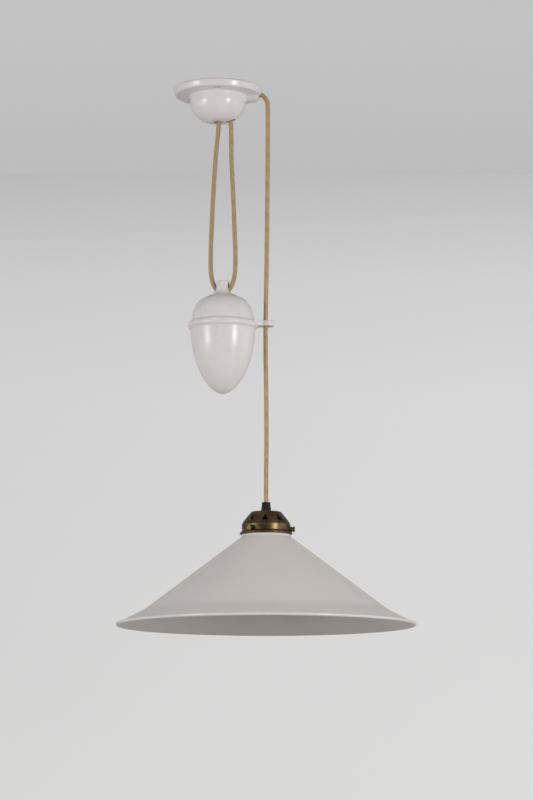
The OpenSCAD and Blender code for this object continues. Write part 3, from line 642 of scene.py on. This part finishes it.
def gallery_profile():
    """The gallery's section: crown, slope, skirt and rolled flange, then back along the inside."""
    roll_x = (gallery_high[0] - gallery_low[0]) / 2
    outer = rounded([
        (STEM_R, GALLERY_TOP, 0),
        (CROWN_R, GALLERY_TOP, 2.4),
        (SLOPE_FOOT_R, GALLERY_TOP - SLOPE_H, 8),
        (SKIRT_R, GALLERY_TOP - SHOULDER_H, 4),
        (SKIRT_R - 0.4, GALLERY_TOP - SKIRT_H, 1.5),
        (SKIRT_R + 1.2, GALLERY_TOP - SKIRT_H - 1, 0),
    ], 8)
    roll = circle_arc(
        min(FLANGE_R, roll_x) - ROLL_R, gallery_low[2] + ROLL_R, ROLL_R, 75, -200, 18
    )
    inner = offset(outer[:-1], -BRASS_T)
    return outer + roll + list(reversed(inner))


def vent_outline():
    """Half of a vent from its tip down to the notch between its lobes, as (across, up)."""
    half = [(0.0, 7.5), (0.5, 7.0), (0.95, 5.6), (1.3, 4.2), (1.75, 2.9)]
    half += circle_arc(VENT_LOBE_R, 0, VENT_LOBE_R, 62, -150, 8)
    return half + [(0.0, -0.85)] + [(-x, z) for x, z in reversed(half[1:])]


def vent_cutters():
    verts, faces = [], []
    outline = vent_outline()
    for i in range(VENTS):
        a = math.radians(-90 - VENT_TURN_DEG + 360 * i / VENTS)
        out, side = Vector((math.cos(a), math.sin(a), 0)), Vector((-math.sin(a), math.cos(a), 0))
        first = len(verts)
        for reach in (VENT_INNER_REACH, VENT_OUTER_REACH):
            for across, up in outline:
                p = out * reach + side * across
                verts.append((LAMP_X + p.x, p.y, VENT_Z + up))
        n = len(outline)
        faces.append(tuple(range(first, first + n)))
        faces.append(tuple(reversed(range(first + n, first + 2 * n))))
        for k in range(n):
            faces.append((first + (k + 1) % n, first + k, first + n + k, first + n + (k + 1) % n))
    return piece("vent_cutters", outward(mesh_of("vent_cutters", verts, faces)))


def turned_out(turn_deg, z, rows, sides):
    """Points and faces of a body turned about a line that leads out of the gallery."""
    a = math.radians(turn_deg)
    out, side = Vector((math.cos(a), math.sin(a), 0)), Vector((-math.sin(a), math.cos(a), 0))
    verts, faces = [], []
    for reach, radius_at in rows:
        for k in range(sides):
            b = math.tau * k / sides
            r = radius_at(b) if callable(radius_at) else radius_at
            p = out * reach + side * r * math.cos(b)
            verts.append((LAMP_X + p.x, p.y, z + r * math.sin(b)))
    for i in range(len(rows) - 1):
        for k in range(sides):
            n = (k + 1) % sides
            faces.append((i * sides + k, i * sides + n, (i + 1) * sides + n, (i + 1) * sides + k))
    faces.append(tuple(reversed(range(sides))))
    faces.append(tuple(range(len(verts) - sides, len(verts))))
    return verts, faces


THUMBSCREW_TURN_DEG = -36
THUMBSCREW_Z = sum(corner[2] for corner in node_mm("thumbscrew_1")) / 2
SCREW_R = 1.6
SCREW_GAP = 0.05
BOSS_R = 3.5
BOSS_T = 2.6
BOSS_SUNK = 0.9


def add_bosses(obj):
    """The tapped bosses that the thumbscrews go through."""
    bm = bmesh.new()
    bm.from_mesh(obj.data)
    for i in range(3):
        foot, face, bore = SKIRT_R - BOSS_SUNK, SKIRT_R + BOSS_T, SCREW_R + SCREW_GAP
        rows = [
            (foot, BOSS_R), (face - 0.5, BOSS_R), (face - 0.15, BOSS_R - 0.15),
            (face, BOSS_R - 0.5), (face, bore), (foot, bore),
        ]
        verts, faces = turned_out(THUMBSCREW_TURN_DEG - 90 + 120 * i, THUMBSCREW_Z, rows, 48)
        part = outward(mesh_of("boss", verts, faces[:-2], 50))
        bm.from_mesh(part)
        bpy.data.meshes.remove(part)
    bm.to_mesh(obj.data)
    bm.free()


gallery = lathe("pressed_gallery", gallery_profile(), LAMP_X, 160, sharp_deg=50)
cutters = vent_cutters()
cut = gallery.modifiers.new("vents", "BOOLEAN")
cut.operation = "DIFFERENCE"
cut.solver = "EXACT"
cut.object = cutters
settle(gallery)
gallery.data.set_sharp_from_angle(angle=math.radians(35))
bpy.data.objects.remove(cutters)
add_bosses(gallery)
gallery.data.shade_smooth()
gallery.data.set_sharp_from_angle(angle=math.radians(35))
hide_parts("gallery")
dress(gallery, BRASS, "lamp")

GRIP_TOP_R = 6.0
GRIP_FOOT_R = 6.9
BORE_R = FLEX_D / 2 + 0.05


def grip_profile():
    top, foot = grip_high[2], GALLERY_TOP
    return rounded([
        (BORE_R, top - 0.8, 0), (BORE_R, top, 0.3), (GRIP_TOP_R, top, 0.5),
        (GRIP_TOP_R, top - 1.2, 0.2), (GRIP_TOP_R - 0.4, top - 1.5, 0.2),
        (GRIP_FOOT_R, foot + 0.8, 0.2), (GRIP_FOOT_R, foot, 0), (STEM_R, foot, 0),
        (STEM_R, grip_low[2], 0.4), (BORE_R, grip_low[2], 0),
    ], 4)


grip = lathe("moulded_grip", grip_profile(), LAMP_X, 96)
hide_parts("flex_grip")
dress(grip, BLACK, "lamp")

# ---- Thumbscrews ----

KNURLS = 26
KNURL_DEPTH = 0.22
KNOB_GAP = 3.4
KNOB_T = 2.4


def thumbscrew(index):
    """A knurled knob on its screw, outwards from the gallery's skirt."""
    low, high = node_mm(f"thumbscrew_{index + 1}")
    knob_r = (high[2] - low[2]) / 2

    def knurled(b):
        return knob_r - KNURL_DEPTH * (0.5 - 0.5 * math.cos(b * KNURLS))

    tip, knob = GLASS_NECK_R + 0.3, SKIRT_R + KNOB_GAP
    end = knob + KNOB_T
    rows = [
        (tip, 0.02), (tip, SCREW_R - 0.4), (tip + 0.4, SCREW_R), (knob, SCREW_R),
        (knob, knob_r - 0.4), (knob + 0.3, knurled), (end - 0.3, knurled), (end, knob_r - 0.4),
        (end, 0.02),
    ]
    verts, faces = turned_out(
        THUMBSCREW_TURN_DEG - 90 + 120 * index, THUMBSCREW_Z, rows, KNURLS * 4
    )
    name = f"knurled_thumbscrew_{index + 1}"
    obj = piece(name, outward(mesh_of(name, verts, faces, 30)))
    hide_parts(f"thumbscrew_{index + 1}")
    dress(obj, BRASS, f"thumbscrew_{index + 1}")


for i in range(3):
    thumbscrew(i)

# ---- CAD nodes that stay, with better materials ----

KEPT = {
    "rose_screws": STEEL, "rose_strap": STEEL, "rose_pulley": BRIGHT_BRASS,
    "rose_pulley_pin": STEEL, "flex_clamp_bar": STEEL, "flex_clamp_screws": STEEL,
    "terminal_block": PORCELAIN, "terminal_tubes": BRIGHT_BRASS, "terminal_screws": STEEL,
    "terminal_block_screw": STEEL, "rose_flex_end": BRAID, "rose_cores": SLEEVE,
    "weight_cement": CEMENT, "weight_shot": SHOT, "weight_roller": BRIGHT_BRASS,
    # The holder's cap gets brass painted dark as shade, since it sits inside the gallery behind the
    # vents
    "weight_roller_pin": STEEL, "flex_tail": BRAID, "holder_cap": PAINTED_SHADE_BRASS,
    "holder_cores": SLEEVE, "holder_insert": PORCELAIN, "holder_contacts": BRIGHT_BRASS,
    "holder_screws": STEEL, "holder_thread": BRIGHT_BRASS, "holder_shell": BLACK,
}
for node, material in KEPT.items():
    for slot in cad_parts[node].material_slots:
        slot.material = material

# ---- Stage and light ----

WALL_Y = 0.514
FLOOR_Z = -1.2
CEILING_Z = 0.0006
SHINE_LOSS = 0.45


def stage_material(name, colour_of, glow):
    """A matt surface seen from its front only, that glows evenly for what looks at it, and
    less so in what shines."""
    n = Nodes(name)
    tree = n.tree
    colour = colour_of(n)
    matt = n.new("BsdfDiffuse")
    shine = n.new("Emission")
    clear = n.new("BsdfTransparent")
    seen = n.new("LightPath")
    either = n.new("Math", operation="MAXIMUM")
    any_of = n.new("Math", operation="MAXIMUM")
    share = n.new("Math", operation="MULTIPLY")
    share.inputs[1].default_value = glow
    n.link(seen.outputs["Is Camera Ray"], either.inputs[0])
    n.link(seen.outputs["Is Glossy Ray"], either.inputs[1])
    dimmed = n.new("Math", operation="MULTIPLY_ADD")
    dimmed.inputs[1].default_value = -SHINE_LOSS
    dimmed.inputs[2].default_value = 1.0
    n.link(seen.outputs["Is Glossy Ray"], dimmed.inputs[0])
    n.link(dimmed.outputs[0], shine.inputs["Strength"])
    n.link(either.outputs[0], any_of.inputs[0])
    n.link(seen.outputs["Is Transmission Ray"], any_of.inputs[1])
    n.link(any_of.outputs[0], share.inputs[0])
    for shader in (matt, shine):
        if isinstance(colour, bpy.types.NodeSocket):
            n.link(colour, shader.inputs["Color"])
        else:
            shader.inputs["Color"].default_value = (*colour, 1)
    lit = n.new("MixShader")
    n.link(share.outputs[0], lit.inputs[0])
    n.link(matt.outputs[0], lit.inputs[1])
    n.link(shine.outputs[0], lit.inputs[2])
    whole = n.new("MixShader")
    n.link(n.new("NewGeometry").outputs["Backfacing"], whole.inputs[0])
    n.link(lit.outputs[0], whole.inputs[1])
    n.link(clear.outputs[0], whole.inputs[2])
    tree.nodes.remove(n.shader)
    n.link(whole.outputs[0], tree.nodes["Material Output"].inputs["Surface"])
    return n.material


def stage_plane(name, corners, material):
    mesh = bpy.data.meshes.new(name)
    mesh.from_pydata(corners, [], [(0, 1, 2, 3)])
    mesh.materials.append(material)
    obj = piece(name, mesh)
    return obj


def wall_painted_light(n):
    axes = n.new("SeparateXYZ")
    n.link(n.where(), axes.inputs[0])
    # Painted light falloff: the wall darker near the ceiling and lighter further down
    down = n.spread(axes.outputs["Z"], 0, 1, 0.0, -0.9)
    tone = n.ramp(down, [
        (0.0, (0.515, 0.515, 0.515)), (1.0, (0.710, 0.710, 0.706)), (0.18, (0.625, 0.625, 0.625)),
        (0.39, (0.680, 0.680, 0.679)), (0.66, (0.688, 0.688, 0.686)),
    ])
    # Painted light: the wall a little darker to the left and lighter to the right
    across = n.spread(axes.outputs["X"], 0.965, 1.022, -0.4, 0.4)
    return n.mix(1.0, tone, across, "MULTIPLY")


def ceiling_painted_shade(n):
    axes = n.new("SeparateXYZ")
    n.link(n.where(), axes.inputs[0])
    # Painted shade: the ceiling darker towards the corner with the wall
    return n.ramp(
        n.spread(axes.outputs["Y"], 0, 1, WALL_Y, -0.3),
        [(0.0, (0.522, 0.522, 0.522)), (1.0, (0.560, 0.560, 0.560))],
    )


SIDE = 4
stage_plane(
    "wall",
    [(-SIDE, WALL_Y, FLOOR_Z), (SIDE, WALL_Y, FLOOR_Z), (SIDE, WALL_Y, CEILING_Z),
     (-SIDE, WALL_Y, CEILING_Z)],
    stage_material("wall", wall_painted_light, 0.93),
)
stage_plane(
    "ceiling",
    [(-SIDE, WALL_Y, CEILING_Z), (SIDE, WALL_Y, CEILING_Z), (SIDE, -SIDE, CEILING_Z),
     (-SIDE, -SIDE, CEILING_Z)],
    stage_material("ceiling", ceiling_painted_shade, 0.93),
)
stage_plane(
    "floor",
    [(-SIDE, -SIDE, FLOOR_Z), (SIDE, -SIDE, FLOOR_Z), (SIDE, WALL_Y, FLOOR_Z),
     (-SIDE, WALL_Y, FLOOR_Z)],
    stage_material("floor", lambda n: (0.50, 0.49, 0.48), 0.4),
)


def softbox(name, at, aim, size, watts):
    data = bpy.data.lights.new(name, "AREA")
    data.shape = "RECTANGLE"
    data.size, data.size_y = size
    data.energy = watts
    obj = bpy.data.objects.new(name, data)
    obj.location = at
    obj.rotation_euler = (Vector(aim) - Vector(at)).to_track_quat("-Z", "Y").to_euler()
    bpy.context.collection.objects.link(obj)


# The softboxes give the highlights on the porcelain, and the fills light its sides
SOFTBOX_AIM = (0.01, 0, -0.25)
FILL_AIM = (0, 0, -0.45)
softbox("right_softbox", (1.81, -1.87, -0.40), SOFTBOX_AIM, (0.60, 0.72), 22)
softbox("left_softbox", (-2.17, -1.42, -0.40), SOFTBOX_AIM, (0.78, 0.72), 17.5)
softbox("right_fill", (2.4, 0.05, -0.5), FILL_AIM, (1.8, 0.9), 7)
softbox("left_fill", (-2.4, 0.05, -0.5), FILL_AIM, (1.8, 0.9), 5.5)

world = bpy.data.worlds.new("studio")
world.use_nodes = True
bpy.context.scene.world = world
world_nodes, world_links = world.node_tree.nodes, world.node_tree.links
around = world_nodes["Background"]
around.inputs["Color"].default_value = (1, 1, 1, 1)
around.inputs["Strength"].default_value = 1.0
# What shines sees a dim room, as in front of a lit set
dim_room = world_nodes.new("ShaderNodeBackground")
dim_room.inputs["Color"].default_value = (0.13, 0.125, 0.12, 1)
seen_by = world_nodes.new("ShaderNodeLightPath")
either_room = world_nodes.new("ShaderNodeMixShader")
world_links.new(seen_by.outputs["Is Glossy Ray"], either_room.inputs[0])
world_links.new(around.outputs[0], either_room.inputs[1])
world_links.new(dim_room.outputs[0], either_room.inputs[2])
world_links.new(either_room.outputs[0], world_nodes["World Output"].inputs["Surface"])

bpy.context.scene.view_settings.view_transform = "Standard"
